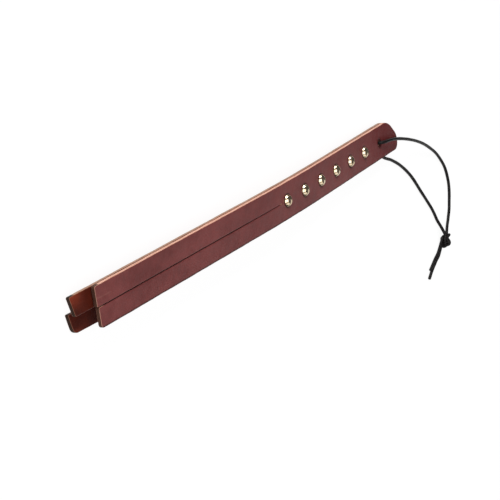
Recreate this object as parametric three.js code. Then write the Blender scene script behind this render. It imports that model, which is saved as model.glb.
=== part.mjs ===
// Two-ply riveted leather strap with split tails and a cord hanging loop.
// Units are millimetres, +Z is up and the strap lies face up on the ground plane Z = 0.
// +X runs towards the rounded handle end, +Y is the side of the tails named "a".
// Positions on the strap are given as a run from the handle end, a Y and a height above its back face.
import * as THREE from "three";

// Leather
const STRAP_WIDTH = 25;
const PLY_THICKNESS = 2.8;
const PLY_GAP = 0.3;
const EDGE_ROUND = 0.5;
const EDGE_STEPS = 2;
const OUTLINE_STEP = 12;
// Each tail's length at its [outer, inner] edge: the lower tails are cut at a slant
const TOP_A_LENGTHS = [426.5, 426.5];
const TOP_B_LENGTHS = [425.3, 425.3];
const BOTTOM_A_LENGTHS = [446.5, 442.9];
const BOTTOM_B_LENGTHS = [436.5, 439.5];
const TAIL_INNER_CORNER = 0.8;
const TAIL_OUTER_CORNER = 1.6;
const BOTTOM_B_OUTER_CORNER = 3.6;

// Handle end: a round corner on the -Y side, and a long soft slant towards the +Y side
const HANDLE_CORNER = 7.4;
const SLANT_START_Y = -1;
const SLANT_RUN = 15.5;
const SLANT_START_ROUND = 8.9;
const SLANT_END_ROUND = 24;

// Rest shape of the strap: straight handle, slow bend, straight tails
const HANDLE_END_X = 223.78;
const HANDLE_END_LIFT = 1.7;
const HANDLE_RISE = 0.04783;
const BEND_START = 142;
const BEND_END = 243;
const BEND_ANGLE = 0.05917;

// Slit and flexing places
const SLIT_WIDTH = 0.8;
const SLIT_START = 212;
const FLEX_RUN = 187.5;
const TAIL_RUN = 216;
const FLEX_GAP = 0.8;
const BOTTOM_B_DROOP = 0.036;

// Rivets and cord hole
const RIVET_COUNT = 6;
const LAST_RIVET_RUN = 65.9;
const RIVET_PITCH = 26.97;
const RIVET_HOLE_RADIUS = 2.4;
const RIVET_CAP_RADIUS = 4.6;
const RIVET_SEAT_GAP = 0.3;
const RIVET_POST_RADIUS = 1.35;
const RIVET_STEM_RADIUS = 2.1;
const RIVET_BORE_RADIUS = 1.65;
const RIVET_SEGMENTS = 28;
const CORD_HOLE_RUN = 36;
const CORD_HOLE_RADIUS = 2.75;
const HOLE_POINTS = 24;

// Cord
const CORD_RADIUS = 1.1;
const CORD_SIDES = 8;
const KNOT_CENTRE = [306.5, -111.2, 3.6];
const KNOT_HALF_SIZE = [6.4, 5.2, 3.5];
const KNOT_TURN = 0.5;

const BOTTOM_LAYER = 0;
const TOP_LAYER = PLY_THICKNESS + PLY_GAP;
const STACK = 2 * PLY_THICKNESS + PLY_GAP;
const HALF_WIDTH = STRAP_WIDTH / 2;
const HALF_SLIT = SLIT_WIDTH / 2;

const topLeather = new THREE.MeshStandardMaterial({ color: 0x6b3c3e, roughness: 0.55, metalness: 0 });
const bottomLeather = new THREE.MeshStandardMaterial({ color: 0x6e2a1e, roughness: 0.6, metalness: 0 });
const brass = new THREE.MeshStandardMaterial({ color: 0xc9b27a, roughness: 0.25, metalness: 1 });
const blackCord = new THREE.MeshStandardMaterial({ color: 0x17161a, roughness: 0.6, metalness: 0 });

// Slope of the strap at a run from its handle end.
function slopeAt(run) {
  const bent = THREE.MathUtils.clamp((run - BEND_START) / (BEND_END - BEND_START), 0, 1);
  return HANDLE_RISE - BEND_ANGLE * bent;
}

// Place of a point that is run along the strap, y across it and height above the back face.
function strapPoint(run, y, height) {
  const radius = (BEND_END - BEND_START) / BEND_ANGLE;
  const slope = slopeAt(run);
  const straight = Math.min(run, BEND_START);
  const beyond = Math.max(run - BEND_END, 0);
  const back = straight * Math.cos(HANDLE_RISE)
    + radius * (Math.sin(HANDLE_RISE) - Math.sin(slope))
    + beyond * Math.cos(slope);
  const rise = straight * Math.sin(HANDLE_RISE)
    + radius * (Math.cos(slope) - Math.cos(HANDLE_RISE))
    + beyond * Math.sin(slope);
  return new THREE.Vector3(
    HANDLE_END_X - back + height * Math.sin(slope),
    y,
    HANDLE_END_LIFT + rise + height * Math.cos(slope),
  );
}

// Extra points along a straight edge, so a long face can follow the bend.
function straightPoints(from, to) {
  const steps = Math.max(1, Math.round(from.distanceTo(to) / OUTLINE_STEP));
  const points = [];
  for (let i = 0; i < steps; i += 1) {
    points.push(from.clone().lerp(to, i / steps));
  }
  return points;
}

// Closed outline with rounded corners. Each corner is [u, y, radius], counter-clockwise.
function roundedOutline(corners) {
  const points = [];
  let last = null;
  let first = null;
  corners.forEach(([u, y, radius], index) => {
    const corner = new THREE.Vector2(u, y);
    const before = new THREE.Vector2(...corners[(index + corners.length - 1) % corners.length]);
    const after = new THREE.Vector2(...corners[(index + 1) % corners.length]);
    const incoming = corner.clone().sub(before).normalize();
    const outgoing = after.clone().sub(corner).normalize();
    const turn = Math.acos(THREE.MathUtils.clamp(incoming.dot(outgoing), -1, 1));
    const trim = radius * Math.tan(turn / 2);
    const start = corner.clone().addScaledVector(incoming, -trim);
    const end = corner.clone().addScaledVector(outgoing, trim);
    const centre = new THREE.Vector2(start.x - incoming.y * radius, start.y + incoming.x * radius);
    if (last) {
      points.push(...straightPoints(last, start));
    }
    first = first || start;
    const steps = Math.ceil(radius ** 0.75 * turn * 1.27);
    const from = start.clone().sub(centre).angle();
    for (let i = 0; i < steps && radius > 0; i += 1) {
      const angle = from + turn * (i / steps);
      points.push(new THREE.Vector2(
        centre.x + radius * Math.cos(angle),
        centre.y + radius * Math.sin(angle),
      ));
    }
    last = end;
  });
  points.push(...straightPoints(last, first));
  return points;
}

// Round hole on the strap's centre line.
function holePath(run, radius) {
  const points = [];
  for (let i = 0; i < HOLE_POINTS; i += 1) {
    const angle = -2 * Math.PI * (i / HOLE_POINTS);
    points.push(new THREE.Vector2(-run + radius * Math.cos(angle), radius * Math.sin(angle)));
  }
  return new THREE.Path(points);
}

// One piece of a ply: its flat outline is given thickness and rounded edges, then laid on the strap's curve.
function plyPiece(outline, layer, holes = []) {
  const shape = new THREE.Shape(outline);
  shape.holes.push(...holes);
  const geometry = new THREE.ExtrudeGeometry(shape, {
    depth: PLY_THICKNESS - 2 * EDGE_ROUND,
    bevelEnabled: true,
    bevelThickness: EDGE_ROUND,
    bevelSize: EDGE_ROUND,
    bevelOffset: -EDGE_ROUND,
    bevelSegments: EDGE_STEPS,
  });
  const position = geometry.attributes.position;
  for (let i = 0; i < position.count; i += 1) {
    const place = strapPoint(
      -position.getX(i),
      position.getY(i),
      layer + EDGE_ROUND + position.getZ(i),
    );
    position.setXYZ(i, place.x, place.y, place.z);
  }
  geometry.computeVertexNormals();
  return geometry;
}

function rivetRun(number) {
  return LAST_RIVET_RUN + (RIVET_COUNT - number) * RIVET_PITCH;
}

const rivetHole = (number) => holePath(rivetRun(number), RIVET_HOLE_RADIUS);

// Handle part of a ply, from the rounded end to the flexing place.
function handleGeometry(layer) {
  const far = -FLEX_RUN + FLEX_GAP / 2;
  const outline = roundedOutline([
    [-SLANT_RUN, HALF_WIDTH, SLANT_END_ROUND],
    [far, HALF_WIDTH, 0],
    [far, -HALF_WIDTH, 0],
    [0, -HALF_WIDTH, HANDLE_CORNER],
    [0, SLANT_START_Y, SLANT_START_ROUND],
  ]);
  const holes = [holePath(CORD_HOLE_RUN, CORD_HOLE_RADIUS)];
  for (let number = 2; number <= RIVET_COUNT; number += 1) {
    holes.push(rivetHole(number));
  }
  return plyPiece(outline, layer, holes);
}

// Throat of a ply: it holds the first rivet and the closed end of the slit.
function throatGeometry(layer) {
  const near = -FLEX_RUN - FLEX_GAP / 2;
  const far = -TAIL_RUN + FLEX_GAP / 2;
  const outline = [
    ...straightPoints(new THREE.Vector2(near, HALF_WIDTH), new THREE.Vector2(far, HALF_WIDTH)),
    new THREE.Vector2(far, HALF_WIDTH),
    new THREE.Vector2(far, HALF_SLIT + EDGE_ROUND),
    new THREE.Vector2(-SLIT_START, HALF_SLIT + EDGE_ROUND),
    new THREE.Vector2(-SLIT_START, -HALF_SLIT - EDGE_ROUND),
    new THREE.Vector2(far, -HALF_SLIT - EDGE_ROUND),
    ...straightPoints(new THREE.Vector2(far, -HALF_WIDTH), new THREE.Vector2(near, -HALF_WIDTH)),
    new THREE.Vector2(near, -HALF_WIDTH),
  ];
  return plyPiece(outline, layer, [rivetHole(1)]);
}

// One tail of a ply on the +Y (side 1) or -Y (side -1) half of the strap.
function tailGeometry(layer, side, [outerLength, innerLength], outerCorner) {
  const near = -TAIL_RUN - FLEX_GAP / 2;
  const high = side > 0 ? HALF_WIDTH : -HALF_SLIT;
  const low = side > 0 ? HALF_SLIT : -HALF_WIDTH;
  const highCorner = side > 0 ? outerCorner : TAIL_INNER_CORNER;
  const lowCorner = side > 0 ? TAIL_INNER_CORNER : outerCorner;
  const outline = roundedOutline([
    [near, high, 0],
    [side > 0 ? -outerLength : -innerLength, high, highCorner],
    [side > 0 ? -innerLength : -outerLength, low, lowCorner],
    [near, low, 0],
  ]);
  return plyPiece(outline, layer);
}

// Turns a geometry about a line across the strap.
function turnAboutRoot(geometry, run, height, angle) {
  const root = strapPoint(run, 0, height);
  geometry.translate(-root.x, -root.y, -root.z);
  geometry.rotateY(angle);
  geometry.translate(root.x, root.y, root.z);
  return geometry;
}

// Revolves a [radius, height] profile about the line through a rivet hole.
function rivetPiece(number, profile) {
  const points = profile.map(([radius, height]) => new THREE.Vector2(radius, height));
  const geometry = new THREE.LatheGeometry(points, RIVET_SEGMENTS);
  const run = rivetRun(number);
  geometry.rotateX(Math.PI / 2);
  geometry.rotateY(slopeAt(run));
  const seat = strapPoint(run, 0, 0);
  geometry.translate(seat.x, seat.y, seat.z);
  return geometry;
}

// Half of a cap's dome from its rim to its crown, as [radius, height above its seat].
const CAP_DOME = [
  [RIVET_CAP_RADIUS, 0],
  [RIVET_CAP_RADIUS, 0.35],
  [4.25, 0.9],
  [3.5, 1.4],
  [2.4, 1.8],
  [1.2, 2],
];
const CAP_CROWN = 2.05;

// Upper cap with the solid post that is driven down into the lower cap.
function rivetCapProfile() {
  const seat = STACK + RIVET_SEAT_GAP;
  return [
    [0, 0],
    [RIVET_POST_RADIUS, 0],
    [RIVET_POST_RADIUS, seat],
    ...CAP_DOME.map(([radius, height]) => [radius, seat + height]),
    [0, seat + CAP_CROWN],
  ];
}

// Lower cap with the hollow stem that receives the post.
function rivetBaseProfile() {
  const seat = -RIVET_SEAT_GAP;
  const stemTop = STACK - 1.2;
  return [
    [0, seat - CAP_CROWN],
    ...CAP_DOME.map(([radius, height]) => [radius, seat - height]).reverse(),
    [RIVET_STEM_RADIUS, seat],
    [RIVET_STEM_RADIUS, stemTop],
    [RIVET_BORE_RADIUS, stemTop],
    [RIVET_BORE_RADIUS, seat],
    [0, seat],
  ];
}

// Round cord swept along hand-placed points.
function cordTube(points, steps) {
  const path = new THREE.CatmullRomCurve3(points.map((point) => new THREE.Vector3(...point)), false, "centripetal");
  const section = new THREE.Shape();
  for (let i = 0; i < CORD_SIDES; i += 1) {
    const angle = 2 * Math.PI * (i / CORD_SIDES);
    const x = CORD_RADIUS * Math.cos(angle);
    const y = CORD_RADIUS * Math.sin(angle);
    if (i === 0) {
      section.moveTo(x, y);
    } else {
      section.lineTo(x, y);
    }
  }
  section.closePath();
  return new THREE.ExtrudeGeometry(section, { steps, extrudePath: path, bevelEnabled: false });
}

function knotGeometry() {
  const geometry = new THREE.SphereGeometry(1, 20, 14);
  geometry.scale(...KNOT_HALF_SIZE);
  geometry.rotateZ(KNOT_TURN);
  geometry.translate(...KNOT_CENTRE);
  return geometry;
}

const hole = strapPoint(CORD_HOLE_RUN, 0, 0);
const MIDDLE_Z = hole.z + STACK / 2;

// From the middle of the hole up, over the handle end and down to the knot.
const OVER_LEG = [
  [hole.x + 0.1, 0, MIDDLE_Z + 0.15],
  [hole.x + 0.4, 0, hole.z + STACK - 0.6],
  [hole.x + 1.6, -0.1, hole.z + STACK + 1.3],
  [hole.x + 4.6, -0.3, 11.6],
  [197.5, -0.6, 11.9],
  [205.5, -1.4, 11.9],
  [217, -3.5, 11.4],
  [233.1, -7.5, 10.2],
  [247.2, -11.5, 8.8],
  [262.6, -16.4, 7],
  [278.8, -22.4, 5],
  [295.2, -30, 3.2],
  [308.8, -37.7, 1.9],
  [318.4, -45.7, 1.3],
  [325, -54, 1.15],
  [328.2, -62.1, 1.15],
  [329.5, -69.7, 1.15],
  [328.8, -76.8, 1.15],
  [327, -83.4, 1.15],
  [324.2, -89.8, 1.15],
  [320.1, -95.7, 1.3],
  [315.4, -101, 2],
  [312.4, -104.3, 2.7],
];

// From the middle of the hole down, out under the -Y edge and along the ground to the knot.
const UNDER_LEG = [
  [hole.x + 0.1, 0, MIDDLE_Z - 0.15],
  [hole.x + 0.2, -0.05, hole.z + 1.6],
  [hole.x + 0.75, -0.5, hole.z + 0.1],
  [hole.x + 1.9, -1.5, 1.9],
  [hole.x + 4, -3.2, 1.2],
  [196, -6.6, 1.15],
  [208.7, -16, 1.15],
  [223.3, -22.1, 1.15],
  [239.2, -30.7, 1.15],
  [255.9, -43.3, 1.15],
  [272.1, -60.6, 1.15],
  [281.1, -70.3, 1.15],
  [290.3, -80.7, 1.15],
  [297.4, -91.5, 1.15],
  [300.4, -98.6, 1.6],
  [302.4, -103.7, 2.4],
];

// The two cut ends leave the knot side by side.
const FIRST_END = [
  [300.6, -113.4, 2.6],
  [295.1, -115.9, 1.5],
  [288.2, -119.4, 1.15],
  [280.7, -123.8, 1.15],
  [273.6, -128.1, 1.15],
];
const SECOND_END = [
  [302.2, -116, 2.6],
  [296.4, -118.2, 1.5],
  [289.5, -121.6, 1.15],
  [282, -126, 1.15],
  [274.8, -130.3, 1.15],
  [269.8, -134.3, 1.15],
];

const part = new THREE.Group();
part.name = "split_tail_strap";

function addMesh(name, geometry, material) {
  const mesh = new THREE.Mesh(geometry, material);
  mesh.name = name;
  part.add(mesh);
}

addMesh("bottom_ply_handle", handleGeometry(BOTTOM_LAYER), bottomLeather);
addMesh("top_ply_handle", handleGeometry(TOP_LAYER), topLeather);
addMesh("bottom_ply_throat", throatGeometry(BOTTOM_LAYER), bottomLeather);
addMesh("top_ply_throat", throatGeometry(TOP_LAYER), topLeather);

const bottomTailA = tailGeometry(BOTTOM_LAYER, 1, BOTTOM_A_LENGTHS, TAIL_OUTER_CORNER);
const bottomTailB = tailGeometry(BOTTOM_LAYER, -1, BOTTOM_B_LENGTHS, BOTTOM_B_OUTER_CORNER);
turnAboutRoot(bottomTailB, TAIL_RUN, PLY_THICKNESS / 2, -BOTTOM_B_DROOP);
addMesh("bottom_tail_a", bottomTailA, bottomLeather);
addMesh("bottom_tail_b", bottomTailB, bottomLeather);
addMesh("top_tail_a", tailGeometry(TOP_LAYER, 1, TOP_A_LENGTHS, TAIL_OUTER_CORNER), topLeather);
addMesh("top_tail_b", tailGeometry(TOP_LAYER, -1, TOP_B_LENGTHS, TAIL_OUTER_CORNER), topLeather);

for (let number = 1; number <= RIVET_COUNT; number += 1) {
  addMesh(`rivet_${number}_cap`, rivetPiece(number, rivetCapProfile()), brass);
  addMesh(`rivet_${number}_base`, rivetPiece(number, rivetBaseProfile()), brass);
}

addMesh("cord_over_leg", cordTube(OVER_LEG, 78), blackCord);
addMesh("cord_under_leg", cordTube(UNDER_LEG, 78), blackCord);
addMesh("cord_knot", knotGeometry(), blackCord);
addMesh("cord_end_1", cordTube(FIRST_END, 12), blackCord);
addMesh("cord_end_2", cordTube(SECOND_END, 14), blackCord);

export default part;
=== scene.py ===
import math

import bpy
import numpy as np
from mathutils import Matrix, Vector


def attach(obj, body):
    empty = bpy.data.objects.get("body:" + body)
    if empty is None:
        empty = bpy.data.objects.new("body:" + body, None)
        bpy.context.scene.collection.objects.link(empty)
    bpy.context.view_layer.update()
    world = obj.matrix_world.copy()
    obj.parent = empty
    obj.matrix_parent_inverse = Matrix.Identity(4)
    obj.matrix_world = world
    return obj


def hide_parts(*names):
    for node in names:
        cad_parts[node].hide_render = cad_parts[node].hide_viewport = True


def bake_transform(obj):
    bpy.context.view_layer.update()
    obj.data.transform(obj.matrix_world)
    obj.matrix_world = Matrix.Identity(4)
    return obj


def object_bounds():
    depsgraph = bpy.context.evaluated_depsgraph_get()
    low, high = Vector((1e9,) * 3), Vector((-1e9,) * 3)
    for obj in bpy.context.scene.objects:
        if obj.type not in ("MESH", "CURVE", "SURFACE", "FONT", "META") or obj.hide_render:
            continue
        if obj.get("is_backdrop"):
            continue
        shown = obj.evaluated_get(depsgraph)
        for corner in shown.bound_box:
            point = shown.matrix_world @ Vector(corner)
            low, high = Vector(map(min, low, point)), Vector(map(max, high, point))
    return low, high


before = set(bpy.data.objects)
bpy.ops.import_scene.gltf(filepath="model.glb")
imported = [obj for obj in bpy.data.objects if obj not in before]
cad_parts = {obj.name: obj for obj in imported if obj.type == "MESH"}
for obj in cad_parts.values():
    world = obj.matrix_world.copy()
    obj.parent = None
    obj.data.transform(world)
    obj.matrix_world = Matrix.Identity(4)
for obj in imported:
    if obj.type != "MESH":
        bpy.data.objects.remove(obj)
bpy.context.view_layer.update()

MM = 0.001

# ---------------------------------------------------------------- camera
CAMERA_PLACE = (-0.8919, 0.24955, 0.52663)
CAMERA_RIGHT = (0.47666, -0.13137, 0.86922)
CAMERA_UP = (0.28935, 0.95712, -0.01401)
CAMERA_BACK = (-0.83011, 0.25819, 0.49423)
CAMERA_LENS_MM = 115.8

camera_data = bpy.data.cameras.new("camera")
camera_data.lens = CAMERA_LENS_MM
camera_data.sensor_width = 36
camera_data.clip_start = 0.01
camera_data.clip_end = 100
camera = bpy.data.objects.new("camera", camera_data)
bpy.context.scene.collection.objects.link(camera)
turn = Matrix((CAMERA_RIGHT, CAMERA_UP, CAMERA_BACK)).transposed()
camera.matrix_world = Matrix.Translation(CAMERA_PLACE) @ turn.to_4x4()
bpy.context.scene.camera = camera

# ---------------------------------------------------------------- strap sizes, in millimetres
STRAP_WIDTH = 25.0
PLY = 2.8
GAP = 0.3
TOP_LAYER = PLY + GAP
STACK = 2 * PLY + GAP
HALF_WIDTH = STRAP_WIDTH / 2
HALF_SLIT = 0.2
SLIT_START = 212.0
TAIL_SEAM = 209.5
TAIL_RUN = 216.0
TAIL_BLEND_RUN = 30.0
FLEX_RUN = 187.5
FLEX_BEFORE = 13.0
FLEX_AFTER = 12.0
# How far along the strap each tail ends, at its outer and inner edge
TAIL_LENGTHS = {
    "top_tail_a": (426.5, 426.5),
    "top_tail_b": (425.3, 425.3),
    "bottom_tail_a": (446.5, 442.9),
    "bottom_tail_b": (436.5, 439.5),
}
TAIL_OUTER_CORNERS = {
    "top_tail_a": 1.2,
    "top_tail_b": 2.2,
    "bottom_tail_a": 1.2,
    "bottom_tail_b": 3.6,
}
TAIL_INNER_CORNER = 0.8
HANDLE_CORNER = 6.0
SLANT_START_Y = -1.3
SLANT_RUN = 15.5
SLANT_START_ROUND = 10.0
SLANT_END_ROUND = 24.0
HANDLE_SHAPED_RUN = 30.0
HANDLE_END_X = 223.78
HANDLE_END_LIFT = 1.7
HANDLE_RISE = 0.04783
BEND_START = 142.0
BEND_END = 243.0
BEND_ANGLE = 0.05917
CORD_HOLE_RUN = 36.0
CORD_HOLE_RADIUS = 2.4
RIVET_COUNT = 6
LAST_RIVET_RUN = 65.9
RIVET_PITCH = 26.97
RIVET_CAP_RADIUS = 4.25
RIVET_RUNS = [LAST_RIVET_RUN + (RIVET_COUNT - n) * RIVET_PITCH for n in range(1, RIVET_COUNT + 1)]


def slope_at(run):
    """The strap's slope in radians. It falls evenly through the bend."""
    bent = np.clip((np.asarray(run, float) - BEND_START) / (BEND_END - BEND_START), 0, 1)
    return HANDLE_RISE - BEND_ANGLE * bent


def strap_point(run, y, height):
    """Places in millimetres of points run along the strap, y across it and height above its back face."""
    run, y, height = np.broadcast_arrays(np.asarray(run, float), y, height)
    radius = (BEND_END - BEND_START) / BEND_ANGLE
    slope = slope_at(run)
    straight = np.minimum(run, BEND_START)
    beyond = np.maximum(run - BEND_END, 0)
    back = straight * math.cos(HANDLE_RISE) + radius * (math.sin(HANDLE_RISE) - np.sin(slope))
    back = back + beyond * np.cos(slope)
    rise = straight * math.sin(HANDLE_RISE) + radius * (np.cos(slope) - math.cos(HANDLE_RISE))
    rise = rise + beyond * np.sin(slope)
    x = HANDLE_END_X - back + height * np.sin(slope)
    z = HANDLE_END_LIFT + rise + height * np.cos(slope)
    return np.stack([x, y, z], -1)


# ---------------------------------------------------------------- mesh helpers
def new_object(name, verts, faces, material, smooth_angle=40, attributes=()):
    mesh = bpy.data.meshes.new(name)
    mesh.from_pydata([tuple(v) for v in verts], [], [tuple(f) for f in faces])
    for label, kind, values in attributes:
        attribute = mesh.attributes.new(label, kind, "POINT")
        field = "vector" if kind == "FLOAT_VECTOR" else "value"
        attribute.data.foreach_set(field, np.asarray(values, np.float32).ravel())
    mesh.validate()
    mesh.shade_smooth()
    mesh.set_sharp_from_angle(angle=math.radians(smooth_angle))
    obj = bpy.data.objects.new(name, mesh)
    bpy.context.scene.collection.objects.link(obj)
    mesh.materials.append(material)
    return obj


def smoothstep(x):
    x = np.clip(x, 0, 1)
    return x * x * (3 - 2 * x)


# ---------------------------------------------------------------- material helpers
class Nodes:
    """Short names for building a node tree."""

    def __init__(self, name):
        self.material = bpy.data.materials.new(name)
        self.material.use_nodes = True
        self.tree = self.material.node_tree
        self.tree.nodes.clear()
        self.output = self.tree.nodes.new("ShaderNodeOutputMaterial")
        self.shader = self.tree.nodes.new("ShaderNodeBsdfPrincipled")
        self.link(self.shader.outputs[0], self.output.inputs["Surface"])

    def link(self, a, b):
        self.tree.links.new(a, b)

    def node(self, kind, inputs=None, **settings):
        made = self.tree.nodes.new(kind)
        for key, value in settings.items():
            setattr(made, key, value)
        for key, value in (inputs or {}).items():
            if isinstance(value, bpy.types.NodeSocket):
                self.link(value, made.inputs[key])
            else:
                made.inputs[key].default_value = value
        return made

    def attribute(self, name):
        return self.node("ShaderNodeAttribute", attribute_name=name)

    def noise(self, vector, scale, detail=4.0, roughness=0.55):
        inputs = {"Vector": vector, "Scale": scale, "Detail": detail, "Roughness": roughness}
        return self.node("ShaderNodeTexNoise", inputs).outputs["Fac"]

    def voronoi(self, vector, scale, feature="F1"):
        inputs = {"Vector": vector, "Scale": scale}
        return self.node("ShaderNodeTexVoronoi", inputs, feature=feature).outputs["Distance"]

    def math(self, operation, a, b=0.0):
        return self.node("ShaderNodeMath", {0: a, 1: b}, operation=operation).outputs[0]

    def remap(self, value, low, high, to_low=0.0, to_high=1.0):
        inputs = {"Value": value, "From Min": low, "From Max": high, "To Min": to_low, "To Max": to_high}
        return self.node("ShaderNodeMapRange", inputs, clamp=True).outputs[0]

    def stretch(self, vector, scale):
        return self.node("ShaderNodeMapping", {"Vector": vector, "Scale": scale}).outputs[0]

    def mix(self, factor, a, b, blend="MIX"):
        made = self.node("ShaderNodeMix", data_type="RGBA", blend_type=blend)
        for socket, value in ((made.inputs[0], factor), (made.inputs[6], a), (made.inputs[7], b)):
            if isinstance(value, bpy.types.NodeSocket):
                self.link(value, socket)
            else:
                socket.default_value = value
        return made.outputs[2]

    def bump(self, height, strength, distance, normal=None):
        inputs = {"Height": height, "Strength": strength, "Distance": distance}
        if normal is not None:
            inputs["Normal"] = normal
        return self.node("ShaderNodeBump", inputs).outputs[0]

    def set(self, **values):
        for key, value in values.items():
            socket = self.shader.inputs[key.replace("_", " ")]
            if isinstance(value, bpy.types.NodeSocket):
                self.link(value, socket)
            else:
                socket.default_value = value


def rgb(r, g, b):
    return (r, g, b, 1.0)


def leather_material(name, face, face_dark, handle_end_shade, edge, edge_dark, burnt_and_shaded):
    """Waxed leather: grained faces and fibrous burnished edges, with painted shade round the fastenings,
    in the slit, on the -Y rim, on the lower tails and on the edges away from the key light, and a handle
    end painted darker and redder in place of its weaker sheen.
    """
    m = Nodes(name)
    place = m.attribute("strap").outputs["Vector"]
    rim = m.attribute("rim").outputs["Fac"]
    burnish_and_shade = m.attribute("burnish_and_shade").outputs["Fac"]
    painted_shade = m.attribute("painted_shade").outputs["Fac"]
    cloud = m.noise(place, 28, 3)
    mottle = m.noise(place, 160, 5, 0.6)
    pores = m.voronoi(place, 1500)
    wrinkle = m.voronoi(m.stretch(place, (420, 640, 400)), 1.0, "DISTANCE_TO_EDGE")
    scuff = m.noise(m.stretch(place, (30, 260, 30)), 1.0, 4, 0.6)
    tone = m.math("ADD", m.math("MULTIPLY", cloud, 0.55), m.math("MULTIPLY", mottle, 0.45))
    colour = m.mix(m.remap(tone, 0.36, 0.64), face_dark, face)
    colour = m.mix(m.remap(pores, 0.0, 0.25, 0.3, 0.0), colour, face_dark)
    colour = m.mix(m.remap(scuff, 0.66, 0.82, 0.0, 0.10), colour, edge)
    along = m.node("ShaderNodeSeparateXYZ", {0: place}).outputs[0]
    # The face is painted darker and redder towards the handle end, in place of the weaker sheen there.
    colour = m.mix(m.remap(along, 0.028, 0.085, 0.9, 0.0), colour, handle_end_shade)
    fibre = m.noise(m.stretch(place, (90, 900, 2600)), 1.0, 5, 0.65)
    edge_colour = m.mix(m.remap(fibre, 0.35, 0.68), edge_dark, edge)
    # Burnished edge colour, deepened with painted shade on the edges that face away from the key light.
    wall = m.math("MULTIPLY", burnish_and_shade, m.remap(rim, 0.55, 0.95))
    edge_colour = m.mix(m.math("MULTIPLY", wall, 0.93), edge_colour, burnt_and_shaded)
    colour = m.mix(m.remap(rim, 0.25, 0.8), colour, edge_colour)
    # Painted shade: near black is mixed in round the fastenings, in the slit, on the -Y rim and over the
    # shaded parts of the lower tails.
    colour = m.mix(m.math("MULTIPLY", painted_shade, 0.85), colour, rgb(0.012, 0.004, 0.004))
    rough = m.math("ADD", m.remap(mottle, 0.3, 0.7, 0.30, 0.46), m.math("MULTIPLY", rim, 0.12))
    creases = m.math("MULTIPLY", m.remap(wrinkle, 0.0, 0.12), 0.6)
    grain = m.math("ADD", creases, m.math("MULTIPLY", mottle, 0.5))
    fine = m.bump(pores, 0.25, 0.00012)
    normal = m.bump(grain, 0.32, 0.00015, fine)
    normal = m.bump(m.math("MULTIPLY", fibre, rim), 0.5, 0.0002, normal)
    shine = m.remap(m.math("ADD", wall, painted_shade), 0.0, 1.0, 0.3, 0.05)
    coat = m.remap(rim, 0.2, 0.8, 0.05, 0.0)
    m.set(Base_Color=colour, Roughness=rough, Normal=normal, Specular_IOR_Level=shine)
    m.set(Coat_Weight=coat, Coat_Roughness=0.3)
    return m.material


# Colours in order: face, darker face tone, the handle end painted darker and redder in place of its
# weaker sheen, edge, darker edge fibres, and the burnished edge colour deepened with painted shade.
top_leather = leather_material(
    "top_leather", rgb(0.205, 0.050, 0.047), rgb(0.137, 0.031, 0.029), rgb(0.128, 0.009, 0.009),
    rgb(0.88, 0.49, 0.36), rgb(0.56, 0.25, 0.155), rgb(0.045, 0.018, 0.012),
)
bottom_leather = leather_material(
    "bottom_leather", rgb(0.30, 0.036, 0.010), rgb(0.14, 0.018, 0.006), rgb(0.115, 0.012, 0.010),
    rgb(0.44, 0.24, 0.15), rgb(0.25, 0.11, 0.06), rgb(0.012, 0.006, 0.005),
)


def brass_material():
    m = Nodes("rivet_brass")
    place = m.node("ShaderNodeTexCoord").outputs["Object"]
    cloud = m.noise(place, 500, 3)
    scratch = m.noise(m.stretch(place, (400, 3000, 700)), 1.0, 4, 0.7)
    colour = m.mix(m.remap(cloud, 0.35, 0.7), rgb(0.86, 0.71, 0.52), rgb(0.72, 0.55, 0.33))
    rough = m.remap(scratch, 0.3, 0.75, 0.10, 0.20)
    m.set(Base_Color=colour, Roughness=rough, Metallic=1.0, Normal=m.bump(scratch, 0.06, 0.00004))
    return m.material


def cord_material():
    m = Nodes("cord")
    along = m.attribute("lay").outputs["Vector"]
    fibre = m.noise(m.stretch(along, (300, 5, 1)), 1.0, 5, 0.6)
    cloud = m.noise(m.stretch(along, (60, 1, 1)), 1.0, 3)
    colour = m.mix(m.remap(cloud, 0.35, 0.7), rgb(0.003, 0.002, 0.002), rgb(0.008, 0.006, 0.006))
    colour = m.mix(m.remap(fibre, 0.6, 0.8, 0.0, 0.5), colour, rgb(0.035, 0.028, 0.026))
    rough = m.remap(fibre, 0.3, 0.7, 0.36, 0.55)
    m.set(Base_Color=colour, Roughness=rough, Specular_IOR_Level=0.2, Normal=m.bump(fibre, 0.3, 0.0001))
    return m.material


brass = brass_material()
black_cord = cord_material()

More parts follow.
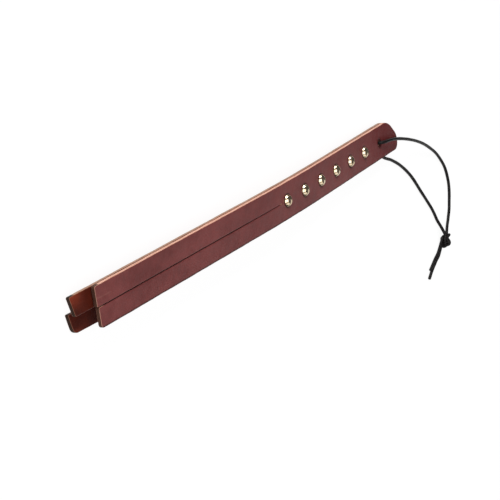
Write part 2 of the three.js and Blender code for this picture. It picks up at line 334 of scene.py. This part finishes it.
# ---------------------------------------------------------------- cords
CORD_DIAMETER = 2.5
CORD_CLEARANCE = 0.05
CUT_END_ROUND = 0.5
CUT_END_SHARE = 0.78
CUT_END_BULGE = 0.12
OVER_LEG = [
    (188.22, 0, 6.75), (188.5, 0, 8.7), (189.7, -0.1, 10.6), (192.7, -0.3, 11.6), (197.5, -0.6, 11.9),
    (205.5, -1.4, 11.9), (217, -3.5, 11.4), (233.1, -7.5, 10.2), (247.2, -11.5, 8.8), (262.6, -16.4, 7),
    (278.8, -22.4, 5), (295.2, -30, 3.2), (308.8, -37.7, 1.9), (318.4, -45.7, 1.3), (325, -54, 1.15),
    (328.2, -62.1, 1.15), (329.5, -69.7, 1.15), (328.8, -76.8, 1.15), (327, -83.4, 1.15),
    (324.8, -90.4, 1.15), (320.3, -97.2, 1.5), (312.8, -102.4, 3.0),
]
UNDER_LEG = [
    (188.22, 0, 6.0), (188.3, -0.05, 5.0), (188.9, -0.5, 3.5), (190.0, -1.5, 1.9), (192.1, -3.2, 1.2),
    (196, -6.6, 1.15), (208.7, -16, 1.15), (223.3, -22.1, 1.15), (239.2, -30.7, 1.15),
    (255.9, -43.3, 1.15), (272.1, -60.6, 1.15), (281.1, -70.3, 1.15), (290.3, -80.7, 1.15),
    (297.5, -91.6, 1.35), (301.3, -99.3, 3.0),
]
FIRST_END = [(293.4, -118.3, 1.3), (285.6, -121.9, 1.3), (273.6, -128.1, 1.3)]
SECOND_END = [(294.5, -120.6, 1.3), (286.7, -124.2, 1.3), (276.2, -129.8, 1.3), (269.8, -134.3, 1.3)]

# Overhand knot tied in both strands: a trefoil lying on the ground, with the strands twisted together.
# KNOT_AXIS is the way the cord runs through it, and KNOT_STRETCH scales it along and across that way.
KNOT_CENTRE = (304.1, -111.1, 4.3)
KNOT_AXIS = (-0.6, -0.8)
KNOT_SIZE = 1.7
KNOT_RISE = 1.85
KNOT_TWIST = 2 * math.pi
KNOT_STRAND_OFFSET = 1.15
KNOT_STRETCH = (0.95, 0.66)


def spline(points, step=0.45):
    """Centripetal Catmull-Rom curve through the points, resampled evenly."""
    p = np.array(points, float)
    p = np.vstack([2 * p[0] - p[1], p, 2 * p[-1] - p[-2]])
    out = []
    for i in range(1, len(p) - 2):
        a, b, c, d = p[i - 1], p[i], p[i + 1], p[i + 2]
        t0 = 0.0
        t1 = t0 + max(np.linalg.norm(b - a), 1e-6) ** 0.5
        t2 = t1 + max(np.linalg.norm(c - b), 1e-6) ** 0.5
        t3 = t2 + max(np.linalg.norm(d - c), 1e-6) ** 0.5
        t = np.linspace(t1, t2, 24, endpoint=False)[:, None]
        a1 = (t1 - t) / (t1 - t0) * a + (t - t0) / (t1 - t0) * b
        a2 = (t2 - t) / (t2 - t1) * b + (t - t1) / (t2 - t1) * c
        a3 = (t3 - t) / (t3 - t2) * c + (t - t2) / (t3 - t2) * d
        b1 = (t2 - t) / (t2 - t0) * a1 + (t - t0) / (t2 - t0) * a2
        b2 = (t3 - t) / (t3 - t1) * a2 + (t - t1) / (t3 - t1) * a3
        out.append((t2 - t) / (t2 - t1) * b1 + (t - t1) / (t2 - t1) * b2)
    line = np.vstack(out + [p[-2][None]])
    gone = np.r_[0, np.cumsum(np.linalg.norm(np.diff(line, axis=0), axis=1))]
    at = np.linspace(0, gone[-1], max(2, int(round(gone[-1] / step))) + 1)
    return np.stack([np.interp(at, gone, line[:, k]) for k in range(3)], 1)


def knot_strand(side):
    """One strand of the doubled overhand knot. The two strands twist slowly round their shared line."""
    lobe = -3 * KNOT_SIZE
    line = [(-3.6, lobe, 0.5 * KNOT_RISE), (-2.0, lobe, 0.9 * KNOT_RISE)]
    for turn in np.linspace(math.pi + 0.12, 3 * math.pi - 0.12, 30):
        height = -math.sin(3 * turn)
        if turn < math.pi * 7 / 6:
            height = 1.0
        if turn > math.pi * 17 / 6:
            height = -1.0
        x = (math.sin(turn) + 2 * math.sin(2 * turn)) * KNOT_SIZE
        y = (math.cos(turn) - 2 * math.cos(2 * turn)) * KNOT_SIZE
        line.append((x, y, height * KNOT_RISE))
    line += [(2.2, lobe, -KNOT_RISE), (4.2, lobe, -KNOT_RISE)]
    line = spline(line, 1.2)
    heading = np.gradient(line, axis=0)
    across = np.stack([-heading[:, 1], heading[:, 0]], 1)
    across /= np.linalg.norm(across, axis=1)[:, None]
    twist = np.linspace(0, KNOT_TWIST, len(line))
    line[:, :2] += across * (side * KNOT_STRAND_OFFSET * np.cos(twist))[:, None]
    line[:, 2] += side * KNOT_STRAND_OFFSET * np.sin(twist)
    along, aside = line[:, 0] * KNOT_STRETCH[0], line[:, 1] * KNOT_STRETCH[1]
    c, s = KNOT_AXIS
    return np.stack([along * c - aside * s, along * s + aside * c, line[:, 2]], 1) + np.array(KNOT_CENTRE)


def tube(name, line, radius, sides=16, wobble=0.03, phase=0.0):
    """Round cord along a line, with a slightly uneven section and rounded cut ends."""
    count = len(line)
    tangent = np.gradient(line, axis=0)
    tangent /= np.linalg.norm(tangent, axis=1)[:, None]
    up = np.array([0.0, 0.0, 1.0]) if abs(tangent[0][2]) < 0.9 else np.array([1.0, 0.0, 0.0])
    normal = np.cross(np.cross(tangent[0], up), tangent[0])
    normal /= np.linalg.norm(normal)
    gone = np.r_[0, np.cumsum(np.linalg.norm(np.diff(line, axis=0), axis=1))]
    verts, lay = [], []
    for i in range(count):
        normal = normal - tangent[i] * (normal @ tangent[i])
        normal /= np.linalg.norm(normal)
        side = np.cross(tangent[i], normal)
        from_end = min(gone[i], gone[-1] - gone[i])
        ease = math.sqrt(max(0.0, 1 - (1 - min(1.0, from_end / CUT_END_ROUND)) ** 2))
        ease = ease * (1 - CUT_END_SHARE) + CUT_END_SHARE
        for k in range(sides):
            angle = 2 * math.pi * k / sides
            uneven = math.sin(2 * angle + gone[i] * 0.21 + phase) * math.sin(gone[i] * 0.13 + phase)
            r = radius * ease * (1 + wobble * uneven)
            verts.append((line[i] + (normal * math.cos(angle) + side * math.sin(angle)) * r) * MM)
            lay.append((gone[i] * MM, math.cos(angle), math.sin(angle)))
    faces = []
    for i in range(count - 1):
        for k in range(sides):
            a, b = i * sides + k, i * sides + (k + 1) % sides
            faces.append((a, b, b + sides, a + sides))
    for end, ring in ((0, range(sides - 1, -1, -1)), (count - 1, range(sides))):
        centre = len(verts)
        push = tangent[end] * (-CUT_END_BULGE if end == 0 else CUT_END_BULGE)
        verts.append((line[end] + push) * MM)
        lay.append((gone[end] * MM, 0, 0))
        ring = [end * sides + k for k in ring]
        for k in range(sides):
            faces.append((ring[k], ring[(k + 1) % sides], centre))
    return new_object(name, verts, faces, black_cord, 60, [("lay", "FLOAT_VECTOR", lay)])


def free_cord(name, leg, side, end, nodes, phase):
    """One strand of the cord, from the hole through the knot to its cut end."""
    strand = knot_strand(side)
    line = spline(list(leg) + [tuple(p) for p in strand[1:-1]] + list(end))
    line[:, 2] = np.maximum(line[:, 2], CORD_DIAMETER / 2 + CORD_CLEARANCE)
    obj = tube(name, line, CORD_DIAMETER / 2, phase=phase)
    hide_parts(*nodes)
    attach(obj, "handle")


free_cord("cord_over", OVER_LEG, 1, SECOND_END, ["cord_over_leg", "cord_end_2", "cord_knot"], 0.0)
free_cord("cord_under", UNDER_LEG, -1, FIRST_END, ["cord_under_leg", "cord_end_1"], 2.0)


# ---------------------------------------------------------------- leather
EDGE_ROUND = 0.55
ROUND_STEPS = 5
WALL_STEPS = 3
CORNER_STEPS = 8
HANDLE_SIDE_POINTS = 37
PLY_STEP = 1.0
PLY_COLUMNS = 32
TAIL_STEP = 1.4
TAIL_COLUMNS = 14
# Bands on the leather where its colour or outline changes, in mm
SIDE_BAND = 11.0
UPPER_SIDE_BAND = 11.3
END_SHADE_RUN = 300.0
LIT_CORNER_RUN = 429.0
LIT_EDGE_RUN = 424.0
HOLE_PATCH = 5.2
BURNISHED_SHADED_END = 4.5
SLIT_CLOSING_RUN = 70.0
SLIT_START_GAP = 0.07
DROOP_SLOPE = 0.0366
DROOP_EASE = 8.0
SLANTED_RUN = 25.0


def edge_rings(layer):
    """(inset, height, rim share) of each ring from the upper face down to the lower face."""
    rings = []
    for k in range(ROUND_STEPS + 1):
        angle = math.pi / 2 * k / ROUND_STEPS
        height = layer + PLY - EDGE_ROUND * (1 - math.cos(angle))
        rings.append((EDGE_ROUND * (1 - math.sin(angle)), height, math.sin(angle) ** 2))
    top, low = layer + PLY - EDGE_ROUND, layer + EDGE_ROUND
    for k in range(1, WALL_STEPS):
        rings.append((0.0, top + (low - top) * k / WALL_STEPS, 1.0))
    for k in range(ROUND_STEPS, -1, -1):
        angle = math.pi / 2 * k / ROUND_STEPS
        height = layer + EDGE_ROUND * (1 - math.cos(angle))
        rings.append((EDGE_ROUND * (1 - math.sin(angle)), height, math.sin(angle) ** 2))
    return rings


def arc_at(corner, before, after, radius, steps):
    """Points of the arc that rounds a corner between two others."""
    corner, before, after = (np.array(p, float) for p in (corner, before, after))
    incoming = (corner - before) / np.linalg.norm(corner - before)
    outgoing = (after - corner) / np.linalg.norm(after - corner)
    turn = math.acos(float(np.clip(incoming @ outgoing, -1, 1)))
    side = math.copysign(1.0, incoming[0] * outgoing[1] - incoming[1] * outgoing[0])
    start = corner - incoming * radius * math.tan(turn / 2)
    centre = start + side * np.array([-incoming[1], incoming[0]]) * radius
    points = []
    for k in range(steps + 1):
        angle = side * turn * k / steps
        arm = start - centre
        c, s = math.cos(angle), math.sin(angle)
        points.append(centre + np.array([arm[0] * c - arm[1] * s, arm[0] * s + arm[1] * c]))
    return points


def evenly(points, count):
    """The same line with evenly spaced points."""
    points = np.array(points)
    gone = np.r_[0, np.cumsum(np.linalg.norm(np.diff(points, axis=0), axis=1))]
    at = np.linspace(0, gone[-1], count)
    return np.stack([np.interp(at, gone, points[:, k]) for k in range(2)], 1)


def handle_side(inward, inset):
    """Boundary of the shaped handle end from the middle of its end line to HANDLE_SHAPED_RUN."""
    edge = -inward * (HALF_WIDTH - inset)
    last = (HANDLE_SHAPED_RUN, edge)
    if inward > 0:
        points = arc_at((inset, edge), (inset, SLANT_START_Y), last, HANDLE_CORNER - inset, 14)
        return evenly(points + [np.array(last)], HANDLE_SIDE_POINTS)
    slant = np.array([SLANT_RUN, HALF_WIDTH - SLANT_START_Y])
    slant /= np.linalg.norm(slant)
    on_slant = np.array([0.0, SLANT_START_Y]) + np.array([slant[1], -slant[0]]) * inset
    first = (inset, on_slant[1] + slant[1] / slant[0] * (inset - on_slant[0]))
    second = (on_slant[0] + slant[0] / slant[1] * (edge - on_slant[1]), edge)
    points = arc_at(first, (inset, -HALF_WIDTH), second, SLANT_START_ROUND - inset, 10)
    points += arc_at(second, first, last, SLANT_END_ROUND - inset, 16)
    return evenly(points + [np.array(last)], HANDLE_SIDE_POINTS)


def side_points(start, end, y, inward, corner_end, inset, step):
    """Boundary of one long side. At run 0 it begins with the shaped handle end.

    A corner of None is square.
    """
    limit = y + inward * inset
    points = []
    from_run = start
    if start == 0:
        points = list(handle_side(inward, inset))[:-1]
        from_run = HANDLE_SHAPED_RUN
    to_run = end if corner_end is None else end - corner_end
    straight = max(2, int(round((end - from_run) / step)))
    for k in range(straight + 1):
        points.append((from_run + (to_run - from_run) * k / straight, limit))
    if corner_end is not None:
        radius = max(corner_end - inset, 0.0)
        centre = (to_run, y + inward * corner_end)
        for k in range(1, CORNER_STEPS + 1):
            angle = math.pi / 2 * k / CORNER_STEPS
            across = centre[1] - inward * radius * math.cos(angle)
            points.append((centre[0] + radius * math.sin(angle), across))
    return np.array(points)


def waviness(run, y, seed):
    """Slight unevenness of hand-cut leather, in millimetres."""
    return (
        0.05 * np.sin(run * 0.11 + seed) + 0.035 * np.sin(run * 0.29 + y * 0.2 + 2 * seed)
        + 0.02 * np.sin(run * 0.83 + y * 0.7 + 3 * seed)
    )


def dish(run, y):
    """How far the face is pressed down round the rivets and the cord hole, and how strong the painted
    shade round the rivet caps and the painted shadow of the cord round the hole are.
    """
    depth = np.zeros_like(run)
    painted_shade = np.zeros_like(run)
    for rivet in RIVET_RUNS:
        away = np.hypot(run - rivet, y)
        depth += 0.12 * np.exp(-((np.maximum(away - 3.6, 0) / 1.9) ** 2))
        # Painted shade round the rim of each rivet cap.
        painted_shade += np.exp(-((np.maximum(away - RIVET_CAP_RADIUS, 0) / 0.8) ** 2))
    away = np.hypot(run - CORD_HOLE_RUN, y)
    depth += 0.22 * np.exp(-((np.maximum(away - CORD_HOLE_RADIUS, 0) / 1.3) ** 2))
    # Painted shadow of the cord on the leather round the hole.
    painted_shade += 0.9 * np.exp(-((np.maximum(away - CORD_HOLE_RADIUS, 0) / 1.5) ** 2))
    return depth, np.clip(painted_shade, 0, 1)


class Solid:
    """Collects points given as run, y and height, with their rim shares, and faces between them."""

    def __init__(self):
        self.points = []
        self.rim = []
        self.faces = []

    def add(self, runs, ys, heights, rim):
        start = len(self.points)
        runs, ys, heights = np.broadcast_arrays(np.asarray(runs, float), ys, heights)
        for run, y, height in zip(runs.ravel(), ys.ravel(), heights.ravel()):
            self.points.append((run, y, height))
            self.rim.append(rim)
        return start + np.arange(runs.size).reshape(runs.shape)

    def bridge(self, upper, lower):
        for k in range(len(upper)):
            n = (k + 1) % len(upper)
            self.faces.append((upper[k], lower[k], lower[n], upper[n]))


def loop_of(grid):
    """Indices round the edge of a grid. Rows run along the strap, columns go from low to high y."""
    return list(grid[:, -1]) + list(grid[-1, -2::-1]) + list(grid[-2::-1, 0]) + list(grid[0, 1:-1])


def ply_solid(start, end, low, high, layer, corners, step, columns, hole=False):
    """A ply piece with rounded edges. corners is (low, high) at its far end, None for a square one."""
    end_low, end_high = corners
    solid = Solid()
    rings = edge_rings(layer)

    def grid_at(inset, height, rim, whole):
        low_side = side_points(start, end, low, 1, end_low, inset, step)
        high_side = side_points(start, end, high, -1, end_high, inset, step)
        share = np.linspace(0, 1, columns)
        runs = low_side[:, :1] * (1 - share) + high_side[:, :1] * share
        ys = low_side[:, 1:] * (1 - share) + high_side[:, 1:] * share
        if whole:
            return solid.add(runs, ys, height, rim)
        ring = loop_of(np.arange(runs.size).reshape(runs.shape))
        return solid.add(runs.ravel()[ring], ys.ravel()[ring], height, rim)

    faces_at = {}
    before = None
    for index, (inset, height, rim) in enumerate(rings):
        whole = index in (0, len(rings) - 1)
        made = grid_at(inset, height, rim, whole)
        loop = loop_of(made) if whole else list(made)
        if whole:
            faces_at[index] = made
        if before is not None:
            solid.bridge(before, loop)
        before = loop

    upper, lower = faces_at[0], faces_at[len(rings) - 1]
    block = None
    if hole:
        runs = np.array([solid.points[i][0] for i in upper[:, columns // 2]])
        rows = np.nonzero(np.abs(runs - CORD_HOLE_RUN) <= HOLE_PATCH)[0]
        ys = np.array([solid.points[i][1] for i in upper[len(runs) // 2]])
        cols = np.nonzero(np.abs(ys) <= HOLE_PATCH)[0]
        block = (rows[0], rows[-1], cols[0], cols[-1])
    for grid, flip in ((upper, False), (lower, True)):
        for j in range(grid.shape[0] - 1):
            for i in range(grid.shape[1] - 1):
                if block and block[0] <= j < block[1] and block[2] <= i < block[3]:
                    continue
                quad = (grid[j, i], grid[j, i + 1], grid[j + 1, i + 1], grid[j + 1, i])
                solid.faces.append(quad if not flip else quad[::-1])
    if block:
        r0, r1, c0, c1 = block
        previous = loop_of(upper[r0:r1 + 1, c0:c1 + 1])
        lower_loop = loop_of(lower[r0:r1 + 1, c0:c1 + 1])
        plan = np.array([solid.points[i][:2] for i in previous])
        away = plan - np.array([CORD_HOLE_RUN, 0.0])
        reach = np.hypot(away[:, 0], away[:, 1])
        unit = away / reach[:, None]
        outer = CORD_HOLE_RADIUS + EDGE_ROUND
        steps = [(reach + (outer - reach) * share, layer + PLY, 0.0) for share in (0.35, 0.7)]
        steps += [(CORD_HOLE_RADIUS + inset, height, rim * 0.6) for inset, height, rim in rings]
        steps += [(reach + (outer - reach) * share, layer, 0.0) for share in (0.7, 0.35)]
        for radius, height, rim in steps:
            ring = list(solid.add(CORD_HOLE_RUN + unit[:, 0] * radius, unit[:, 1] * radius, height, rim))
            solid.bridge(ring, previous)
            previous = ring
        solid.bridge(lower_loop, previous)
    return solid


def leather_piece(name, solid, layer, material, bend=None, seed=0.0):
    """Turns a collected solid into a Blender piece on the strap's curve."""
    points = np.array(solid.points)
    faces = solid.faces
    used = np.zeros(len(points), bool)
    used[np.unique(np.array([i for f in faces for i in f]))] = True
    index = np.cumsum(used) - 1
    faces = [tuple(int(index[i]) for i in f) for f in faces]
    points, rim = points[used], np.array(solid.rim)[used]
    run, y, height = points.T
    middle = layer + PLY / 2
    depth, painted_shade = dish(run, y)
    outward = np.sign(height - middle)
    on_outer_face = (outward > 0) if layer > 0 else (outward < 0)
    lift = waviness(run, y, seed) * 0.6
    sink = np.where(on_outer_face, depth * np.clip(np.abs(height - middle) / (PLY / 2), 0, 1), 0.0)
    shown = height + np.where(on_outer_face, outward * (lift - sink), 0.0)
    across = y + rim * waviness(run, y, seed + 5) * np.where(np.abs(y) > SIDE_BAND, 1.0, 0.3)
    closing = 1 - smoothstep((run - SLIT_START) / SLIT_CLOSING_RUN)
    closing = closing * np.clip(1 - (np.abs(y) - HALF_SLIT) / 2.0, 0, 1)
    across = across - np.where(run > TAIL_SEAM, np.sign(y) * (HALF_SLIT - SLIT_START_GAP) * closing, 0.0)
    # How far each edge is burnished and darkened with painted shade: fully on the -Y side, away from the
    # key light, not at all on the lit +Y side
    at_slit = np.where(y > 0, 1.0, 0.45)
    burnish_and_shade = np.where(y < -SIDE_BAND, 1.0, np.where(y > SIDE_BAND, 0.0, at_slit))
    at_end = (run > run.max() - BURNISHED_SHADED_END) & (run > SLIT_START)
    inner = np.clip(1 - (np.abs(y) - HALF_SLIT) / 1.2, 0, 1) * (run > SLIT_START) * ~at_end
    # Painted shade down the walls of the slit between the tails.
    painted_shade = np.maximum(painted_shade, 0.7 * inner * smoothstep((rim - 0.25) / 0.5))
    # Painted shade along the -Y rim of the upper ply, the side away from the key light.
    if layer > 0:
        painted_shade = np.maximum(painted_shade, 0.95 * smoothstep((-y - UPPER_SIDE_BAND) / 0.9))
    painted_shade = np.where(on_outer_face | (inner > 0), painted_shade, 0.0)
    # The tail end faces get the full burnish and painted shade, as they face away from the light.
    burnish_and_shade = np.where(at_end, 1.0, burnish_and_shade) * (rim > 0.3)
    # Painted light and shade on the lower tails' upper faces: a lit outer corner at the tip, the rest
    # painted as shadow under the upper ply.
    if layer == 0:
        lit_corner = smoothstep((run - LIT_CORNER_RUN) / 16) * smoothstep((y - 2) / 10)
        lit_edge = 0.35 * smoothstep((-y - 8) / 4) * smoothstep((run - LIT_EDGE_RUN) / 12)
        shade = 0.86 - 0.62 * lit_corner - lit_edge
        shaded = np.clip(shade, 0, 0.9) * (1 - rim)
        painted_shade = np.maximum(painted_shade, np.where((outward > 0) & (run > END_SHADE_RUN), shaded, 0.0))
    place = strap_point(run, across, shown)
    if bend is not None:
        place = bend(place, run)
    attributes = [
        ("strap", "FLOAT_VECTOR", points * MM),
        ("rim", "FLOAT", rim * (1 - 0.85 * inner)),
        ("burnish_and_shade", "FLOAT", burnish_and_shade),
        ("painted_shade", "FLOAT", painted_shade),
    ]
    obj = new_object(name, place * MM, faces, material, 50, attributes)
    return obj


def frame_point(run):
    """A place in metres at mid-thickness on the strap's middle line."""
    return tuple(float(v) for v in strap_point(run, 0.0, STACK / 2) * MM)


def droop(place, run):
    """The lower tail on the -Y side hangs away from its ply until its tip meets the ground."""
    gone = np.maximum(run - SLIT_START, 0)
    out = place.copy()
    out[:, 2] -= DROOP_SLOPE * (gone - DROOP_EASE * (1 - np.exp(-gone / DROOP_EASE)))
    return out


def slant_end(solid, outer, inner, side):
    """Moves a tail's end so that it reaches its outer and inner lengths."""
    middle, half = (outer + inner) / 2, (outer - inner) / 2
    for index, (run, y, height) in enumerate(solid.points):
        share = min(max((run - middle + SLANTED_RUN) / SLANTED_RUN, 0.0), 1.0)
        across = (side * y - HALF_WIDTH / 2) / (HALF_WIDTH / 2)
        solid.points[index] = (run + half * across * share, y, height)


LAYERS = {
    "upper": (TOP_LAYER, top_leather, "top_leather", "top", 1.0),
    "lower": (0.0, bottom_leather, "bottom_leather", "bottom", 4.0),
}
for label, (layer, material, slot, node, seed) in LAYERS.items():
    solid = ply_solid(
        0, TAIL_SEAM, -HALF_WIDTH, HALF_WIDTH, layer, (None, None), PLY_STEP, PLY_COLUMNS, hole=True
    )
    piece = leather_piece(f"{label}_ply", solid, layer, material, seed=seed)
    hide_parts(f"{node}_ply_handle", f"{node}_ply_throat")
    flex_start = frame_point(FLEX_RUN - FLEX_BEFORE)
    flex_end = frame_point(FLEX_RUN + FLEX_AFTER)
    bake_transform(piece)
    for tail, side in (("a", 1), ("b", -1)):
        cad_node = f"{node}_tail_{tail}"
        outer, inner = TAIL_LENGTHS[cad_node]
        corners = (TAIL_INNER_CORNER, TAIL_OUTER_CORNERS[cad_node])
        if side > 0:
            low, high = HALF_SLIT, HALF_WIDTH
        else:
            low, high = -HALF_WIDTH, -HALF_SLIT
            corners = corners[::-1]
        end = (outer + inner) / 2
        solid = ply_solid(TAIL_SEAM, end, low, high, layer, corners, TAIL_STEP, TAIL_COLUMNS)
        slant_end(solid, outer, inner, side)
        bend = droop if cad_node == "bottom_tail_b" else None
        piece = leather_piece(f"{label}_tail_{tail}", solid, layer, material, bend, seed)
        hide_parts(cad_node)
        blend_end = frame_point(TAIL_RUN + TAIL_BLEND_RUN)
        frame_point(SLIT_START - 1)
        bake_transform(piece)


# ---------------------------------------------------------------- rivets
CAP_CROWN = 2.65
CAP_LIP = 0.30
CAP_SINK = 0.12
DOME_POWER = 3.4
POST_RADIUS = 1.35
POST_FOOT = 0.1
STEM_RADIUS = 2.1
BORE_RADIUS = 1.65
STEM_SHORT = 1.2


def lathe(name, profile, number, material, sides=48):
    """Revolves a closed (radius, height) profile about a rivet's line. It starts and ends on the axis."""
    run = RIVET_RUNS[number - 1]
    verts = []
    seat = strap_point(run, 0.0, 0.0)
    slope = float(slope_at(run))
    along = np.array([-math.cos(slope), 0, math.sin(slope)])
    up = np.array([math.sin(slope), 0, math.cos(slope)])
    across = np.array([0, 1.0, 0])
    rows = []
    for radius, height in profile:
        if radius < 1e-9:
            rows.append([len(verts)])
            verts.append((seat + up * height) * MM)
            continue
        rows.append(list(range(len(verts), len(verts) + sides)))
        for k in range(sides):
            angle = -2 * math.pi * k / sides
            arm = along * math.cos(angle) + across * math.sin(angle)
            verts.append((seat + up * height + arm * radius) * MM)
    faces = []
    for a, b in zip(rows, rows[1:]):
        for k in range(sides):
            n = (k + 1) % sides
            if len(a) == 1:
                faces.append((a[0], b[n], b[k]))
            elif len(b) == 1:
                faces.append((a[k], a[n], b[0]))
            else:
                faces.append((a[k], a[n], b[n], b[k]))
    obj = new_object(name, verts, faces, material, 50)
    return obj


def dome_profile(rim_radius, crown, steps=16):
    """Half of a cap from its rim to its crown: a rolled lip, then a dome that is flat on top."""
    lip = CAP_LIP
    points = [(rim_radius - lip, 0.0)]
    for k in range(1, 6):
        angle = math.pi / 2 * k / 5 - math.pi / 2
        points.append((rim_radius - lip + lip * math.cos(angle), lip + lip * math.sin(angle)))
    for k in range(1, steps):
        share = k / steps
        radius = rim_radius * math.cos(math.pi / 2 * share)
        points.append((radius, lip + (crown - lip) * (1 - (radius / rim_radius) ** DOME_POWER)))
    return points


for number in range(1, RIVET_COUNT + 1):
    body = "throat" if number == 1 else "handle"
    seat = STACK - CAP_SINK
    dome = dome_profile(RIVET_CAP_RADIUS, CAP_CROWN)
    cap = [(0.0, POST_FOOT), (POST_RADIUS, POST_FOOT), (POST_RADIUS, seat)]
    cap += [(radius, seat + height) for radius, height in dome] + [(0.0, seat + CAP_CROWN)]
    obj = lathe(f"rivet_cap_{number}", cap, number, brass)
    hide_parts(f"rivet_{number}_cap")
    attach(obj, body)
    seat = CAP_SINK
    base = [(0.0, seat - CAP_CROWN)] + [(radius, seat - height) for radius, height in reversed(dome)]
    stem_top = STACK - STEM_SHORT
    base += [(STEM_RADIUS, seat), (STEM_RADIUS, stem_top), (BORE_RADIUS, stem_top)]
    base += [(BORE_RADIUS, seat), (0.0, seat)]
    obj = lathe(f"rivet_base_{number}", base, number, brass)
    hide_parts(f"rivet_{number}_base")
    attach(obj, body)


# ---------------------------------------------------------------- floor and light
def plain_material(name, colour, roughness, glow):
    m = Nodes(name)
    m.set(Base_Color=colour, Roughness=roughness, Emission_Color=rgb(1, 1, 1), Emission_Strength=glow)
    return m.material


floor_mesh = bpy.data.meshes.new("floor")
FLOOR_CORNERS = [(-60, -60, 0), (60, -60, 0), (60, 60, 0), (-60, 60, 0)]
floor_mesh.from_pydata(FLOOR_CORNERS, [], [(0, 1, 2, 3)])
floor_mesh.materials.append(plain_material("floor", rgb(0.13, 0.13, 0.13), 0.8, 0.9))
floor = bpy.data.objects.new("floor", floor_mesh)
bpy.context.scene.collection.objects.link(floor)
floor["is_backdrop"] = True


def area_light(name, place, size, power):
    """A rectangular white softbox that faces the middle of the floor."""
    data = bpy.data.lights.new(name, "AREA")
    data.shape = "RECTANGLE"
    data.size, data.size_y = size
    data.energy = power
    light = bpy.data.objects.new(name, data)
    light.location = place
    aim = Vector((0, 0, 0)) - Vector(place)
    light.rotation_euler = aim.to_track_quat("-Z", "Y").to_euler()
    bpy.context.scene.collection.objects.link(light)


area_light("top", (-1.2, 0.1, 1.6), (1.6, 2.2), 24)
area_light("key", (0.0, 1.6, 0.8), (1.6, 0.7), 21)
area_light("near", (-1.4, -0.6, 0.9), (0.8, 0.6), 1.7)
area_light("side", (-0.1, -1.35, 1.15), (1.8, 1.1), 6)
area_light("low", (1.3, -0.85, 0.5), (1.1, 0.7), 1.9)

world = bpy.data.worlds.new("world")
bpy.context.scene.world = world
world.use_nodes = True
world.node_tree.nodes["Background"].inputs[0].default_value = rgb(1.0, 1.0, 1.0)
world.node_tree.nodes["Background"].inputs[1].default_value = 0.09

bpy.context.scene.view_settings.view_transform = "Standard"

low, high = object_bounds()
